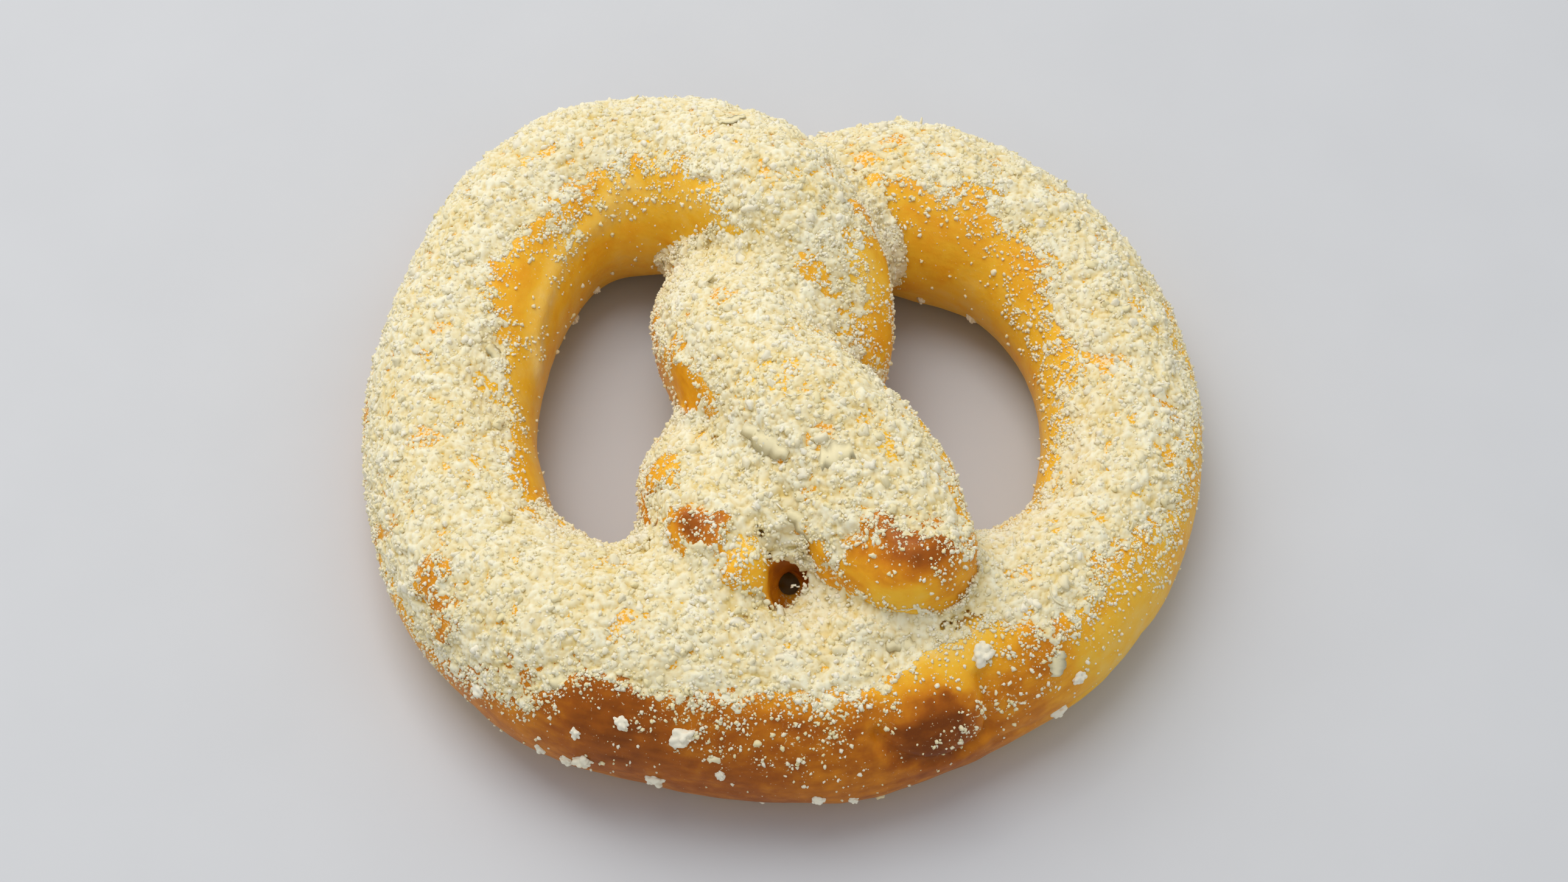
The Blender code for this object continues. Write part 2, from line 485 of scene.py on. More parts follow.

# %% How brown the crust is, and painted shade in the opening between the tips
BROWNING_AND_SHADE_SPOTS = [  # x, y, z and radius in mm, and how much darker or lighter than its surroundings
    (-14, -34, 38, 6.0, 0.40),  # left tip's cap
    (21, -40, 43, 10.0, 0.34),  # right tip's cap
    (26, -64, 21, 9.0, 0.26),  # belly, left of the crease
    (-30, -66, 22, 16.0, 0.08),
    (44, -50, 25, 6.0, 0.12),
    (31, -53, 29, 9.0, -0.16),  # golden patch on the belly
    (-5, -43, 34, 7.0, -0.14),  # left tip's face
    (20, -48, 36, 8.0, -0.22),  # right tip's face
    (16, -66, 24, 3.0, -0.10),  # a small pale spot on the belly
    (1, -40, 28, 7.0, 0.42),  # painted shade: the walls of the opening between the tips, darkened as if in shadow
    (18, 22, 32, 9.0, -0.10),
]


def browning_and_painted_shade(points, normals):
    """0 for pale dough to 1 for nearly burnt crust, with painted shade added in the opening between the
    tips.
    """
    outward = outward_share(points, normals)
    bake = 0.33 + 0.20 * smoothstep(0.1, 0.8, outward) + 0.10 * smoothstep(0.3, 0.95, normals[:, 2])
    bake = bake + 0.23 * smoothstep(0.2, 0.9, -normals[:, 1]) * smoothstep(-45, -60, points[:, 1])
    bake = bake - 0.20 * smoothstep(25, 60, points[:, 0]) * smoothstep(0.2, 0.8, outward)
    bake = bake - 0.22 * smoothstep(7, 1, points[:, 2])
    bake = bake - 0.20 * np.exp(-((distance_to_path(points, PALE_RIDGE) / 3.0) ** 4))
    uneven = ragged(points)
    for spot in BROWNING_AND_SHADE_SPOTS:
        bake = bake + near(uneven, spot)
    bake = bake + 0.10 * wander(points, 16, seed=5) + 0.05 * wander(points, 4, seed=6)
    return np.clip(bake, 0, 1)


# browning for each vertex, with painted shade on the walls of the opening between the tips
baked_and_shaded = browning_and_painted_shade(skin_points, skin_normals)
dough_mesh = skin.copy()
set_points(dough_mesh, dough_points)
set_attribute(dough_mesh, "bake", baked_and_shaded)
set_attribute(dough_mesh, "dusted", np.clip(skin_hold, 0, 1))
print("browning from", round(float(baked_and_shaded.min()), 2), "to", round(float(baked_and_shaded.max()), 2))

# %% [markdown]
# ## Baked crust
# Crust is wheat dough that was brushed with beaten egg, so it is a brown film over a pale,
# slightly translucent body: satin, with soft broad highlights where the egg lies thick.
# The browning number picks the colour, and on the walls of the opening between the tips it
# also holds painted shade. Mottling of the size of flour clots and level streaks from rolling
# break it up, tiny blisters make a low bump, and the finest dust of the cheese, too small to be
# mesh, shows as pale specks where cheese nearly stays.

# %% Crust material
MOTTLE = 2.4 * MM
BLISTER = 1.0 * MM
POWDER = 0.55 * MM  # coarser than the real dust, which would be too fine to show
STREAK = 7 * MM  # rolling by hand leaves level streaks, long and a quarter as high
STREAK_RATIO = 4


def new_material(name):
    """A material with an empty Principled shader: its tree, the shader and Object coordinates."""
    material = bpy.data.materials.new(name)
    material.use_nodes = True
    tree = material.node_tree
    coordinates = add(tree, "ShaderNodeTexCoord").outputs["Object"]
    return material, tree, tree.nodes["Principled BSDF"], coordinates


def finish_shader(tree, shader, base, bump=None, **constants):
    """Wires the colour and the bump into the shader, and sets its plain values."""
    tree.links.new(in_use(base.outputs), shader.inputs["Base Color"])
    if bump:
        tree.links.new(in_use(bump.outputs), shader.inputs["Normal"])
    for name, value in constants.items():
        shader.inputs[name.replace("_", " ")].default_value = value


crust, tree, shader, here = new_material("egg_washed_wheat_crust")
# this attribute holds browning, and painted shade in the opening between the tips
bake = add(tree, "ShaderNodeAttribute", attribute_name="bake").outputs["Fac"]
mottle = add(tree, "ShaderNodeTexNoise", {"Vector": here, "Scale": 1 / MOTTLE, "Detail": 4.0})
uneven = add(tree, "ShaderNodeMath", {0: mottle, 1: 0.26, 2: -0.13}, operation="MULTIPLY_ADD")
browned_and_shaded = add(tree, "ShaderNodeMath", {0: bake, 1: uneven}, operation="ADD")
rolled = add(tree, "ShaderNodeMapping", {"Vector": here, "Scale": (1, 1, STREAK_RATIO)})
streaks = add(tree, "ShaderNodeTexNoise", {"Vector": rolled, "Scale": 1 / STREAK, "Detail": 3.0})
streaked = add(tree, "ShaderNodeMath", {0: streaks, 1: 0.24, 2: -0.12}, operation="MULTIPLY_ADD")
browned_and_shaded = add(tree, "ShaderNodeMath", {0: browned_and_shaded, 1: streaked}, operation="ADD")
tones = add(tree, "ShaderNodeValToRGB", {"Fac": browned_and_shaded})
set_ramp(
    tones, (0.0, "F7DFA2"), (0.18, "F5C85C"), (0.34, "F6BE34"), (0.50, "EEA620"), (0.66, "D28014"),
    (0.82, "A85A0E"), (1.0, "7A3C08"),
)
blister = add(tree, "ShaderNodeTexNoise", {"Vector": here, "Scale": 1 / BLISTER, "Detail": 3.0})
dusted = add(tree, "ShaderNodeAttribute", attribute_name="dusted").outputs["Fac"]
powder = add(tree, "ShaderNodeTexNoise", {"Vector": here, "Scale": 1 / POWDER, "Detail": 2.0})
heaped = add(tree, "ShaderNodeMath", {0: dusted, 1: 0.26, 2: powder}, operation="MULTIPLY_ADD")
specks = add(
    tree, "ShaderNodeMapRange", {"Value": heaped, "From Min": 0.70, "From Max": 0.78, "To Max": 0.75}
)
base = add(tree, "ShaderNodeMix", {"Factor": specks, "A": tones, "B": colour("F2E2B4")}, data_type="RGBA")
bump = add(tree, "ShaderNodeBump", {"Height": blister, "Strength": 0.5, "Distance": 0.2 * MM})
gloss = add(tree, "ShaderNodeMapRange", {"Value": mottle, "To Min": 0.34, "To Max": 0.52})
tree.links.new(in_use(gloss.outputs), shader.inputs["Roughness"])
finish_shader(
    tree, shader, base, bump,
    IOR=1.45, Specular_IOR_Level=0.16, Subsurface_Weight=0.2, Subsurface_Radius=(1.0, 0.42, 0.12),
    Subsurface_Scale=1.8 * MM, Coat_Weight=0.08, Coat_Roughness=0.15,
)
dough = place("dough", dough_mesh, "crust", crust)
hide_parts("pretzel")

# %% [markdown]
# ## The blanket of cheese
# Finely grated hard cheese falls as soft lumps of about a millimetre that cling to each other.
# Where it is thick they close up into a blanket whose lumps show only as relief. It fills
# narrow valleys, which a mesh can copy by growing outwards, letting the walls that meet
# fuse, and shrinking back by as much. The blanket is cut out where there is cover, pushed in
# and out by the crumbs' relief, and closed on its underside, which sits inside the dough.

# %% Fill the valleys
VALLEY_REACH = 4.0  # mm; valleys narrower than about twice this get filled
GROWN_VOXEL = 0.9 * MM
BLANKET_VOXEL = 0.37 * MM
HEAPS = [  # centre and half widths in mm of rounded heaps in the hollows between the strands
    ((-1, -27, 33.5), (9, 10, 6.5)),
    ((16, -48, 28), (10, 5.5, 4)),
    ((-9, -47, 29.5), (10, 5, 3.5)),
]

grown_mesh = skin.copy()
set_points(grown_mesh, skin_points + skin_normals * VALLEY_REACH)
grown_mesh = with_modifiers(grown_mesh, "grown", *remesh(GROWN_VOXEL, passes=4))
set_points(grown_mesh, points_of(grown_mesh) - normals_of(grown_mesh) * VALLEY_REACH)
bm = bmesh.new()
bm.from_mesh(grown_mesh)
for centre, halves in HEAPS:
    form = Matrix.Translation(Vector(centre) * MM) @ Matrix.Diagonal((*(Vector(halves) * MM), 1))
    bmesh.ops.create_icosphere(bm, subdivisions=4, radius=1, matrix=form)
bm.to_mesh(grown_mesh)
bm.free()
filled = with_modifiers(grown_mesh, "filled", *remesh(BLANKET_VOXEL, passes=8))
filled_points = points_of(filled)
filled_normals = normals_of(filled)
print("filled skin:", len(filled.vertices), "vertices")

# %% Push the blanket out
CRUMB = 0.95  # mm between the middles of neighbouring crumbs
CLUMP = 5.5  # mm across
LARGE_MEAN = 0.57  # the means of the two reliefs; less these, gaps go in as far as crumbs stand out
BALLS_MEAN = 0.58


def cheese_height(points, hold):
    """How far the cheese's top stands out from the solid's surface, how far from the dough, and
    how deep the gaps between crumbs are there, which becomes painted shade in the cheese's colour."""
    cover = np.clip((hold - 0.25 + 0.10 * wander(points, 2.6, seed=21, octaves=2)) / 0.5, 0, 1)
    large = heap(points, 1.5 * CRUMB, 13)
    balls = 0.62 * heap(points, CRUMB, 3) + 0.38 * heap(points, 0.6 * CRUMB, 5)
    clumps = wander(points, CLUMP, seed=7, octaves=2)
    relief = 0.62 * clumps * cover + 0.50 * (large - LARGE_MEAN) + 0.78 * (balls - BALLS_MEAN)
    above_dough = cover - 0.55 + relief
    # painted shade: the deeper the gap between crumbs, the darker yellow the packed cheese is painted
    hollow = np.clip(1.1 - 1.1 * balls - 0.5 * (large - 0.5) - 0.2 * clumps, 0, 1)
    return dough_height(points, hold) + above_dough, above_dough, hollow


skin_tree = BVHTree.FromPolygons(skin_points, [tuple(p.vertices) for p in skin.polygons])
bridged = np.array([skin_tree.find_nearest(point)[3] for point in filled_points])
filled_hold = cheese_hold(filled_points, filled_normals)
free = near(ragged(filled_points), OPENING)
filled_hold = np.maximum(filled_hold, 0.55 * smoothstep(0.4, 1.2, bridged) - free)
height, above_dough, hollow = cheese_height(filled_points, filled_hold)
never_cut = (bridged > 0.5) & (free < 0.3)  # no gap opens where cheese bridges a hollow
print("cheese against the solid, mm:", round(height.min(), 2), "to", round(height.max(), 2))


# %% Cut the blanket out of its skin
def cut_shell(mesh, kept, outer_points, inner_points, name):
    """The part of a closed skin of quads whose vertices are kept, closed by an inner copy of itself."""
    quads = np.empty(len(mesh.polygons) * 4, np.int32)
    mesh.polygons.foreach_get("vertices", quads)
    quads = quads.reshape(-1, 4)
    quads = quads[kept[quads].all(axis=1)]
    used = np.unique(quads)
    renumbered = np.full(len(kept), -1)
    renumbered[used] = np.arange(len(used))
    outer = renumbered[quads]
    starts, ends = outer.ravel(), np.roll(outer, -1, axis=1).ravel()
    count = len(used)
    on_rim = ~np.isin(starts * count + ends, ends * count + starts)
    starts, ends = starts[on_rim], ends[on_rim]
    wall = np.stack([ends, starts, starts + count, ends + count], axis=1)
    shell = bpy.data.meshes.new(name)
    corners = np.concatenate([outer_points[used], inner_points[used]]) * MM
    shell.from_pydata(corners, [], np.concatenate([outer, outer[:, ::-1] + count, wall]))
    shell.shade_smooth()
    walls = np.zeros(len(shell.polygons), bool)
    walls[2 * len(outer) :] = True
    shell.attributes.new("sharp_face", "BOOLEAN", "FACE").data.foreach_set("value", walls)
    return shell, used


SHELL_DEPTH = 2.8  # mm from the solid's surface down to the blanket's underside
LOWEST_KEPT = -0.25  # mm; where the cheese lies lower than this against the dough, there is none
OVERLAP = 4  # mm that neighbouring parts share; each dips under the other towards its own end
END_DIP = 0.35  # mm
inner_points = filled_points - filled_normals * SHELL_DEPTH
PARTS = {"left": (-99, -36), "inner_left": (-40, -2), "inner_right": (-6, 32), "right": (28, 99)}
shells = {}
for side, (start, end) in PARTS.items():  # x in mm
    from_end = np.minimum(filled_points[:, 0] - start, end - filled_points[:, 0])
    kept = ((above_dough > LOWEST_KEPT) | never_cut) & (from_end > 0)
    dip = END_DIP * (1 - smoothstep(0, OVERLAP / 2, from_end))
    outer_points = filled_points + filled_normals * (height - dip)[:, None]
    shell, used = cut_shell(filled, kept, outer_points, inner_points, "cheese_blanket_" + side)
    # the depth of the gaps goes to the packed cheese's colour as painted shade
    set_attribute(shell, "hollow", np.concatenate([hollow[used], hollow[used]]))
    shells[side] = shell
    print("blanket,", side, "part:", triangles_in(shell), "triangles before thinning")

# %% [markdown]
# ## Grated cheese
# Hard cheese aged for a year is pale straw, matt and waxy, and lets light in by about half a
# millimetre, which is why a heap of it glows and its gaps turn yellow and not grey. The packed
# blanket gets its glow from subsurface scattering, and its gaps are painted a darker yellow along
# the depth of the gaps: painted shade between the crumbs. A loose crumb is as thin as that depth
# and would turn grey from the light that leaves it behind, so loose cheese has no scattering,
# and each crumb has its own tint.

# %% Cheese materials
CHEESE_GRAIN = 0.35 * MM
CHEESE_PATCH = 7 * MM  # richer and paler handfuls


def cheese_material(name, attribute, low_hex, high_hex, glow):
    """Hard cheese whose colour goes from one hex value to another along a vertex attribute, and
    whose share of light that passes through is glow."""
    material, tree, shader, here = new_material(name)
    shade = add(tree, "ShaderNodeAttribute", attribute_name=attribute).outputs["Fac"]
    grain = add(tree, "ShaderNodeTexNoise", {"Vector": here, "Scale": 1 / CHEESE_GRAIN, "Detail": 2.0})
    patches = add(tree, "ShaderNodeTexNoise", {"Vector": here, "Scale": 1 / CHEESE_PATCH, "Detail": 1.0})
    varied = add(tree, "ShaderNodeMath", {0: patches, 1: 0.9, 2: -0.45}, operation="MULTIPLY_ADD")
    mixed = add(tree, "ShaderNodeMath", {0: shade, 1: varied}, operation="ADD", use_clamp=True)
    tints = {"Factor": mixed, "A": colour(low_hex), "B": colour(high_hex)}
    base = add(tree, "ShaderNodeMix", tints, data_type="RGBA")
    bump = add(tree, "ShaderNodeBump", {"Height": grain, "Strength": 0.3, "Distance": 0.08 * MM})
    finish_shader(
        tree, shader, base, bump,
        Roughness=0.6, IOR=1.45, Specular_IOR_Level=0.2,
        Subsurface_Weight=glow, Subsurface_Radius=(1.0, 0.9, 0.7), Subsurface_Scale=0.6 * MM,
    )
    return material


# the packed cheese is painted a darker yellow in its gaps: painted shade
packed_cheese = cheese_material("packed_grated_cheese", "hollow", "F1EBCE", "E2C87C", 0.5)
loose_cheese = cheese_material("loose_grated_cheese", "tint", "F2ECD6", "ECDFAE", 0.0)
MOST_TRIANGLES = 185000
for side, shell in shells.items():
    ratio = min(1, MOST_TRIANGLES / triangles_in(shell))
    thinned = with_modifiers(shell, shell.name, ("DECIMATE", {"ratio": ratio}))
    place("cheese_blanket_" + side, thinned, "cheese", packed_cheese)

# %% [markdown]
# ## Loose crumbs
# On the blanket and around it lie single crumbs: dust, fine crumbs, lumps of several grains
# stuck together, broad flakes and thin shreds. A few shapes of each kind are enough, lumps made
# by fusing balls and slivers as a row of small rings, and Geometry Nodes scatter them. The tree
# has named inputs for sizes and density, turns each crumb at random, and ends in plain mesh,
# which is kept as one piece a kind.

# %% Shapes of crumbs
dice = np.random.default_rng(20)
CORE_RADIUS = 0.36


def lump(name, balls, faces, spread, least=0.16, most=0.30, voxel=0.07):
    """A closed lump about 1 unit across: balls of random size fused to one in the middle."""
    bm = bmesh.new()
    for i in range(balls):
        radius = CORE_RADIUS if i == 0 else dice.uniform(least, most)
        direction = Vector(dice.normal(size=3)).normalized()
        centre = direction * (0 if i == 0 else spread * dice.uniform(0.7, 1.1))
        bmesh.ops.create_icosphere(bm, subdivisions=2, radius=radius, matrix=Matrix.Translation(centre))
    mesh = bpy.data.meshes.new(name)
    bm.to_mesh(mesh)
    bm.free()
    by_voxels = {"mode": "VOXEL", "voxel_size": voxel, "use_smooth_shade": True}
    fused = with_modifiers(mesh, name, ("REMESH", by_voxels))
    return with_modifiers(fused, name, ("DECIMATE", {"ratio": faces / triangles_in(fused)}))


def shard(name, length, width, thickness, bend, sides):
    """A thin closed sliver with ragged ends, length along X and lying flat."""
    bm = bmesh.new()
    rings = []
    for i in range(sides + 1):
        share = i / sides
        swell = math.sin(math.pi * min(max(share, 0.08), 0.92))
        half = width / 2 * (0.45 + 0.55 * swell) * dice.uniform(0.75, 1.2)
        x = (share - 0.5) * length
        y = bend * math.sin(math.pi * share) + dice.uniform(-0.1, 0.1) * width
        z = bend * 0.6 * math.cos(1.7 * math.pi * share)
        ring = [(x, y - half, z), (x, y, z + thickness / 2), (x, y + half, z), (x, y, z - thickness / 2)]
        rings.append([bm.verts.new(p) for p in ring])
    for ring, following in zip(rings, rings[1:]):
        for k in range(4):
            bm.faces.new((ring[k], following[k], following[(k + 1) % 4], ring[(k + 1) % 4]))
    bm.faces.new(rings[0])
    bm.faces.new(rings[-1][::-1])
    bmesh.ops.recalc_face_normals(bm, faces=bm.faces)
    mesh = bpy.data.meshes.new(name)
    bm.to_mesh(mesh)
    bm.free()
    mesh.shade_smooth()
    return mesh


def collection_of(name, meshes):
    """A collection of these meshes, for a scatter to pick from."""
    collection = bpy.data.collections.new(name)
    for mesh in meshes:
        collection.objects.link(bpy.data.objects.new(mesh.name, mesh))
    return collection


dust_shapes = collection_of("dust", [lump(f"dust_{i}", 2, 12, 0.30) for i in range(6)])
grain_shapes = collection_of("grain", [lump(f"grain_{i}", 4, 20, 0.36) for i in range(9)])
crumb_shapes = collection_of("crumb", [lump(f"crumb_{i}", 6, 40, 0.40) for i in range(10)])
coarse_shapes = collection_of("coarse", [lump(f"coarse_{i}", 9, 64, 0.42) for i in range(10)])
flake_shapes = collection_of("flake", [shard(f"flake_{i}", 1, 0.55, 0.14, 0.06, 7) for i in range(6)])
shred_shapes = collection_of("shred", [shard(f"shred_{i}", 1, 0.16, 0.12, 0.12, 6) for i in range(8)])
all_shapes = (dust_shapes, grain_shapes, crumb_shapes, coarse_shapes, flake_shapes, shred_shapes)

# %% The scatter's node tree
FEW_LARGE = 1.8  # the higher this power, the fewer of the crumbs are large
scatter = bpy.data.node_groups.new("scatter_crumbs", "GeometryNodeTree")
scatter.interface.new_socket("Geometry", in_out="OUTPUT", socket_type="NodeSocketGeometry")
for name, kind in (
    ("Geometry", "Geometry"), ("Shapes", "Collection"), ("Where", "String"), ("Per square metre", "Float"),
    ("Closest", "Float"), ("Smallest", "Float"), ("Largest", "Float"), ("Lift", "Float"), ("Tilt", "Float"),
    ("Seed", "Int"), ("Material", "Material"),
):
    scatter.interface.new_socket(name, in_out="INPUT", socket_type="NodeSocket" + kind)
given = add(scatter, "NodeGroupInput").outputs
density = add(scatter, "GeometryNodeInputNamedAttribute", {"Name": given["Where"]}, data_type="FLOAT")
sown = add(
    scatter,
    "GeometryNodeDistributePointsOnFaces",
    {
        "Mesh": given["Geometry"], "Distance Min": given["Closest"],
        "Density Max": given["Per square metre"], "Density Factor": density, "Seed": given["Seed"],
    },
    distribute_method="POISSON",
)
roll = add(scatter, "FunctionNodeRandomValue", {"Min": 0.0, "Max": 1.0, "Seed": given["Seed"]})
skewed = add(scatter, "ShaderNodeMath", {0: roll, 1: FEW_LARGE}, operation="POWER")
size = add(
    scatter,
    "ShaderNodeMapRange",
    {"Value": skewed, "To Min": given["Smallest"], "To Max": given["Largest"]},
)
stretch = add(
    scatter,
    "FunctionNodeRandomValue",
    {"Min": (0.8, 0.8, 0.75), "Max": (1.2, 1.2, 1.1), "Seed": 3},
    data_type="FLOAT_VECTOR",
)
shape = add(scatter, "ShaderNodeVectorMath", {0: stretch, "Scale": size}, operation="SCALE")
tilt_back = add(scatter, "ShaderNodeMath", {0: given["Tilt"], 1: -1.0}, operation="MULTIPLY")
most = add(scatter, "ShaderNodeCombineXYZ", {0: given["Tilt"], 1: given["Tilt"], 2: math.pi})
least = add(scatter, "ShaderNodeCombineXYZ", {0: tilt_back, 1: tilt_back, 2: -math.pi})
turn = add(
    scatter, "FunctionNodeRandomValue", {"Min": least, "Max": most, "Seed": 5}, data_type="FLOAT_VECTOR"
)
turn_by = add(scatter, "FunctionNodeEulerToRotation", {0: turn})
turned = add(
    scatter,
    "FunctionNodeRotateRotation",
    {"Rotation": sown.outputs["Rotation"], "Rotate By": turn_by},
    rotation_space="LOCAL",
)
rise = add(scatter, "ShaderNodeMath", {0: size, 1: given["Lift"]}, operation="MULTIPLY")
outward = add(
    scatter, "ShaderNodeVectorMath", {0: sown.outputs["Normal"], "Scale": rise}, operation="SCALE"
)
lifted = add(scatter, "GeometryNodeSetPosition", {"Geometry": sown, "Offset": outward})
variants = add(
    scatter,
    "GeometryNodeCollectionInfo",
    {"Collection": given["Shapes"], "Separate Children": True, "Reset Children": True},
)
crumbs = add(
    scatter,
    "GeometryNodeInstanceOnPoints",
    {"Points": lifted, "Instance": variants, "Pick Instance": True, "Rotation": turned, "Scale": shape},
)
tint = add(scatter, "FunctionNodeRandomValue", {"Min": 0.0, "Max": 1.0, "Seed": 8})
tinted = add(
    scatter,
    "GeometryNodeStoreNamedAttribute",
    {"Geometry": crumbs, "Name": "tint", "Value": tint},
    domain="INSTANCE",
    data_type="FLOAT",
)
real = add(scatter, "GeometryNodeRealizeInstances", {"Geometry": tinted})
made = add(scatter, "GeometryNodeSetMaterial", {"Geometry": real, "Material": given["Material"]})
add(scatter, "NodeGroupOutput", {"Geometry": made})
print("scatter tree:", len(scatter.nodes), "nodes")

# %% The surface that crumbs land on
SINK = 0.12  # mm by which crumbs sit in the blanket; beside it they lie on the dough
ground = height + np.maximum(-above_dough, -SINK)
ground_points = filled_points + filled_normals * ground[:, None]
host_mesh = filled.copy()
set_points(host_mesh, ground_points)
thick = smoothstep(0.60, 0.74, filled_hold)
clusters = smoothstep(-0.30, 0.50, wander(filled_points, 2.0, seed=9, octaves=2))
fringe = smoothstep(0.02, 0.62, filled_hold) ** 1.3 * (1 - thick)
foot = smoothstep(1, 3, filled_points[:, 2]) * (1 - smoothstep(6, 9, filled_points[:, 2]))
foot = foot * smoothstep(0.2, 0.6, outward_share(filled_points, filled_normals))
stray = 0.03 * clusters * smoothstep(8, 14, filled_points[:, 2]) * (free < 0.3)
groups = smoothstep(-0.45, 0.45, wander(filled_points, CLUMP, seed=15, octaves=2))
set_attribute(host_mesh, "fringe", np.clip(fringe * (0.15 + clusters) + stray, 0, 1))
set_attribute(host_mesh, "blanket", np.clip(thick * (0.45 + 0.75 * groups) + 0.5 * fringe * clusters, 0, 1))
sparse = 0.5 * fringe * clusters**2 + 0.5 * stray
set_attribute(host_mesh, "anywhere", np.clip(thick * (0.3 + groups) + sparse, 0, 1))
set_attribute(host_mesh, "scattered", np.clip(thick + 0.3 * sparse + 0.10 * foot * clusters, 0, 1))
host = bpy.data.objects.new("crumb_ground", host_mesh)
bpy.context.collection.objects.link(host)


def sow(name, **values):
    """Scatters one kind of crumb on the ground and keeps it as a plain piece."""
    modifier = host.modifiers.new(name, "NODES")
    modifier.node_group = scatter
    for item in scatter.interface.items_tree:
        if item.in_out == "INPUT" and item.name.replace(" ", "_") in values:
            modifier[item.identifier] = values[item.name.replace(" ", "_")]
    mesh = shown_mesh(host, name)
    host.modifiers.remove(modifier)
    return place(name, mesh, "cheese", values["Material"])


ANY_TILT = math.pi
KINDS = [  # name, shapes, where, for each mm2, closest, smallest and largest in mm, lift, tilt, seed
    ("cheese_dust", dust_shapes, "fringe", 6.0, 0.28, 0.32, 0.8, 0.1, ANY_TILT, 1),
    ("fine_crumbs", grain_shapes, "fringe", 3.0, 0.35, 0.55, 1.1, 0.12, ANY_TILT, 2),
    ("small_crumbs", grain_shapes, "blanket", 0.7, 0.5, 0.55, 1.1, 0.05, ANY_TILT, 7),
    ("crumbs", crumb_shapes, "anywhere", 0.3, 0.7, 0.75, 1.5, 0.0, ANY_TILT, 3),
    ("coarse_crumbs", coarse_shapes, "scattered", 0.05, 1.3, 1.2, 2.4, -0.1, ANY_TILT, 4),
    ("flakes", flake_shapes, "blanket", 0.006, 4, 2.0, 5, -0.02, 0.3, 5),
    ("shreds", shred_shapes, "scattered", 0.02, 1.5, 1.8, 4.0, 0.0, 0.5, 6),
]
for name, shapes, where, each, closest, smallest, largest, lift, tilt, seed in KINDS:
    sow(
        name, Material=loose_cheese, Shapes=shapes, Where=where, Per_square_metre=each / MM**2,
        Closest=closest * MM, Smallest=smallest * MM, Largest=largest * MM, Lift=lift, Tilt=tilt,
        Seed=seed,
    )

# %% [markdown]
# ## Slices and chunks
# A grater also lets a few broad slices and crumbly chunks through. They are few and large
# enough to be seen one by one, so each is listed with its own place: a slice lies along the surface under
# it, and a chunk clings to the crust where the belly turns down or at the foot of an inner wall.

# %% Lay them one by one
SLICES = [  # x, y, z of the place, length, width and turn in degrees
    (-3, -21, 43, 10, 4.5, 10),
    (9, -25, 46, 6, 5, 40),
    (-9, 52, 40, 5, 3, 0),
    (20, -52, 29, 5, 3.5, -20),
    (3, -34, 38, 6, 3, -15),
    (-50, 9, 27, 4.5, 3, 70),
    (-36, -59, 29, 4.5, 2.5, 20),
    (46, -52, 23, 4.5, 3.5, 60),
]
CHUNKS = [  # x, y, z of the place and the size
    (33, -53, 28, 4.6),
    (47, -55, 11, 3.6),
    (50, -52, 18, 3.2),
    (-16, -67, 25, 4.4),
    (-26, -65, 26, 3.0),
    (-34, -65, 22, 2.4),
    (-40, -62, 13, 2.6),
    (-36, -65, 13, 2.8),
    (-33, -66, 15, 4.2),
    (-21, -69, 13, 3.6),
    (-10, -70, 18, 2.2),
    (6, -71, 12, 2.8),
    (12, -71, 10, 2.4),
    (-51, -55, 19, 3.2),
    (-36, 29, 7, 2.6),  # at the foot of the left arch's inner wall
    (-31, 33, 8, 2.2),
    (25, 31, 8, 2.2),  # and of the right arch's
    (34, 28, 8, 2.4),
]
SLICE_THICKNESS = 0.35 * MM
SLICE_BEND = 0.1 * MM
SLICE_TINT = 0.85  # a slice is solid cheese, so it looks richer than crumbs do
LEVEL_OVER = 2.5  # mm of ground round a place that decide how a piece lies there
TURN_PER_MM = 47  # degrees, so that chunks of other sizes lie another way round


def laid(spot, turn):
    """The frame of a piece on the ground: its place, its Z along the ground's normal."""
    distance = np.linalg.norm(ground_points - spot, axis=1)
    nearest = np.argmin(distance)
    normal = Vector(filled_normals[distance < distance[nearest] + LEVEL_OVER].mean(0))
    upright = normal.to_track_quat("Z", "Y").to_matrix().to_4x4()
    lying = Matrix.Translation(Vector(ground_points[nearest]) * MM) @ upright
    return lying @ Matrix.Rotation(math.radians(turn), 4, "Z")


def chunk_on(spot, size):
    """The frame of a chunk size mm long, which lies somewhat flattened on its spot."""
    flattened = Matrix.Diagonal((size * MM, size * 0.8 * MM, size * 0.7 * MM, 1))
    return laid(spot, TURN_PER_MM * size) @ flattened


def joined(name, meshes_and_frames):
    """One mesh of several, each moved into its frame."""
    bm = bmesh.new()
    for mesh, frame_of_it in meshes_and_frames:
        moved = mesh.copy()
        moved.transform(frame_of_it)
        bm.from_mesh(moved)
    result = bpy.data.meshes.new(name)
    bm.to_mesh(result)
    bm.free()
    result.shade_smooth()
    return result


slices = joined("slices", [
    (shard("slice", length * MM, width * MM, SLICE_THICKNESS, SLICE_BEND, 9), laid((x, y, z), turn))
    for x, y, z, length, width, turn in SLICES
])
set_attribute(slices, "tint", np.full(len(slices.vertices), SLICE_TINT))
place("slices", slices, "cheese", loose_cheese)
chunks = joined("chunks", [
    (lump("chunk", 46, 700, 0.42, least=0.07, most=0.17, voxel=0.045), chunk_on((x, y, z), size))
    for x, y, z, size in CHUNKS
])
place("chunks", chunks, "cheese", loose_cheese)

# %% Clear the workshop
bpy.data.objects.remove(host)
for shapes in all_shapes:
    for obj in list(shapes.objects):
        bpy.data.objects.remove(obj)
    bpy.data.collections.remove(shapes)

# %% [markdown]
# ## Table, light and camera
# The pretzel lies on a sheet of pale grey paper. A large soft light stands behind it to the
# left, so the holes' shadows gather at their upper left and the heap of cheese shows its
# relief, and a pale surround fills the rest. The camera looks down by 56 degrees from the
# front, through a lens of 72 mm, which draws the near side little larger than the far one.

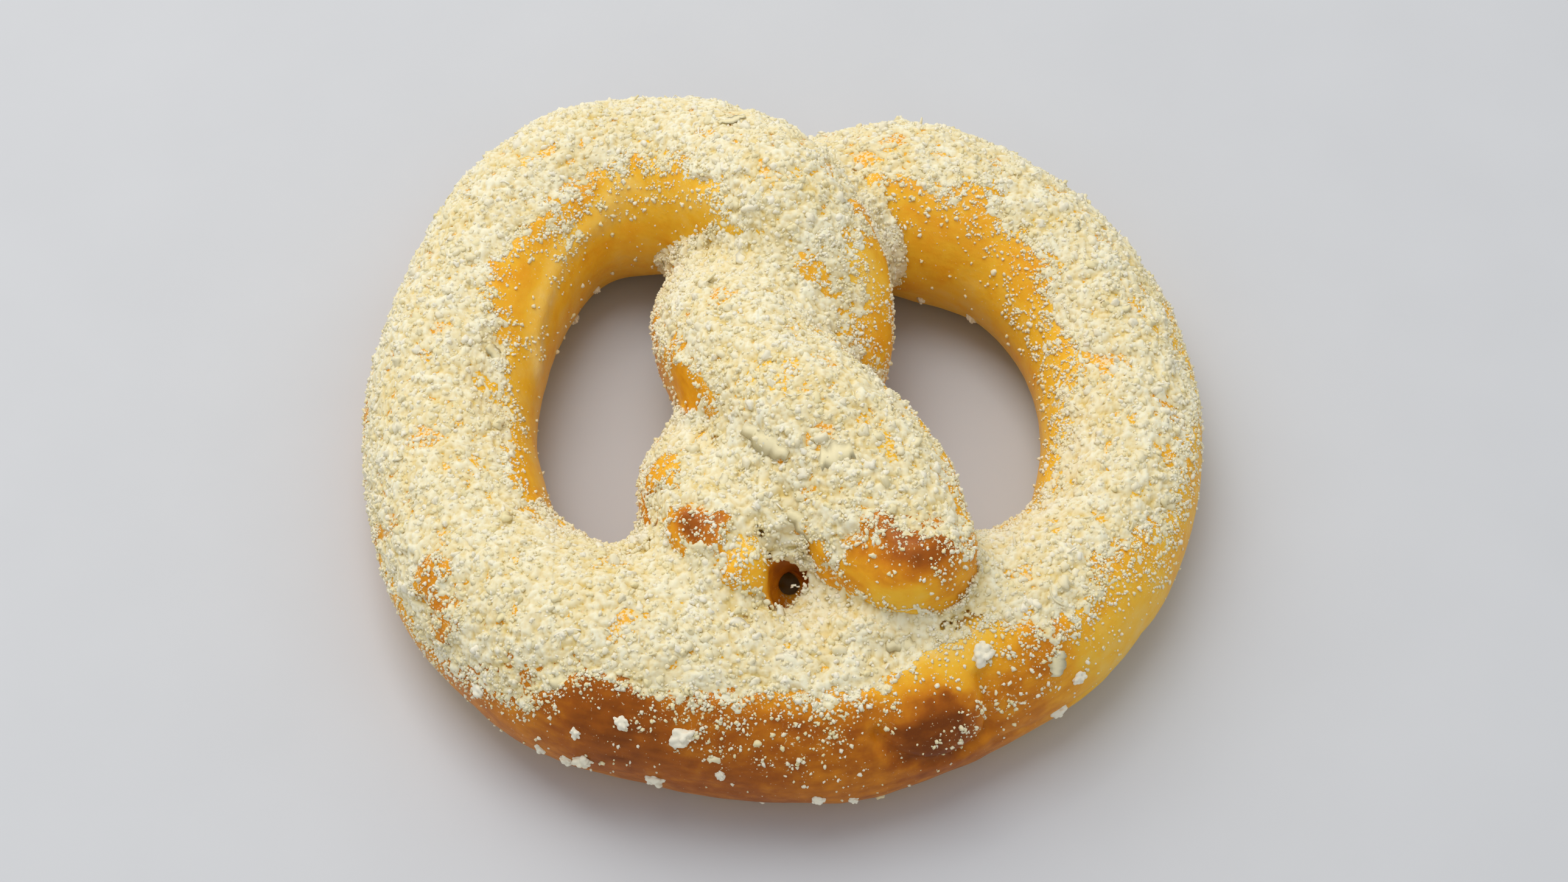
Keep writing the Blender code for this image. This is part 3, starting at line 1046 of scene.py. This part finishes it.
# %% Floor
FLOOR_HALF = 1.5  # metres
FLOOR_GAP = 0.2 * MM  # keeps the floor clear of the part's flat base
PAPER_CLOUD = 30 * MM  # faint clouds from how the fibres settled
floor_mesh = bpy.data.meshes.new("paper")
corners = [(x * FLOOR_HALF, y * FLOOR_HALF, 0) for x, y in ((-1, -1), (1, -1), (1, 1), (-1, 1))]
floor_mesh.from_pydata(corners, [], [(0, 1, 2, 3)])
paper, tree, shader, here = new_material("matt_grey_paper")
fibre = add(tree, "ShaderNodeTexNoise", {"Vector": here, "Scale": 1 / PAPER_CLOUD, "Detail": 4.0})
greys = {"Factor": fibre, "A": colour("C6C8CB"), "B": colour("CCCED1")}
base = add(tree, "ShaderNodeMix", greys, data_type="RGBA")
finish_shader(tree, shader, base, Roughness=0.7)
floor = bpy.data.objects.new("floor", floor_mesh)
floor_mesh.materials.append(paper)
bpy.context.collection.objects.link(floor)
floor.location.z = -FLOOR_GAP
print("floor:", 2 * FLOOR_HALF, "m a side")

# %% Light
scene = bpy.context.scene
scene.view_settings.view_transform = "Standard"
world = bpy.data.worlds.new("pale_surround")
scene.world = world
world.use_nodes = True
surround = world.node_tree.nodes["Background"].inputs
surround["Color"].default_value = colour("FAFCFF")
surround["Strength"].default_value = 0.58


def soft_light(name, spot, aim, side, watts, hex_value="FFFFFF"):
    """A square area light at a spot, turned to face its aim."""
    light = bpy.data.lights.new(name, "AREA")
    light.size = side
    light.energy = watts
    light.color = colour(hex_value)[:3]
    lamp = bpy.data.objects.new(name, light)
    lamp.location = spot
    lamp.rotation_euler = (Vector(aim) - Vector(spot)).to_track_quat("-Z", "Y").to_euler()
    bpy.context.collection.objects.link(lamp)
    print(f"{name}: {watts} W")


soft_light("window", (-0.6, 0.8, 1.0), (0, 0, 0), 1.0, 6.4, "FFF8F0")
soft_light("ceiling", (-0.15, 0.2, 1.2), (0, 0, 0), 0.7, 5.0)

# %% Camera
ELEVATION = math.radians(56)
DISTANCE = 0.560
AIM = Vector((0.0005, -0.0012, 0.014))
FOCAL_LENGTH = 72.15  # mm on a 36 mm wide sensor
camera_data = bpy.data.cameras.new("camera")
camera_data.lens = FOCAL_LENGTH
camera_data.sensor_width = 36
camera_data.clip_start = 0.01
camera = bpy.data.objects.new("camera", camera_data)
camera.location = AIM + DISTANCE * Vector((0, -math.cos(ELEVATION), math.sin(ELEVATION)))
camera.rotation_euler = Euler((math.pi / 2 - ELEVATION, 0, 0))
bpy.context.collection.objects.link(camera)
scene.camera = camera
print("camera at:", [round(value, 3) for value in camera.location])

# %% Update the scene
bpy.context.view_layer.update()
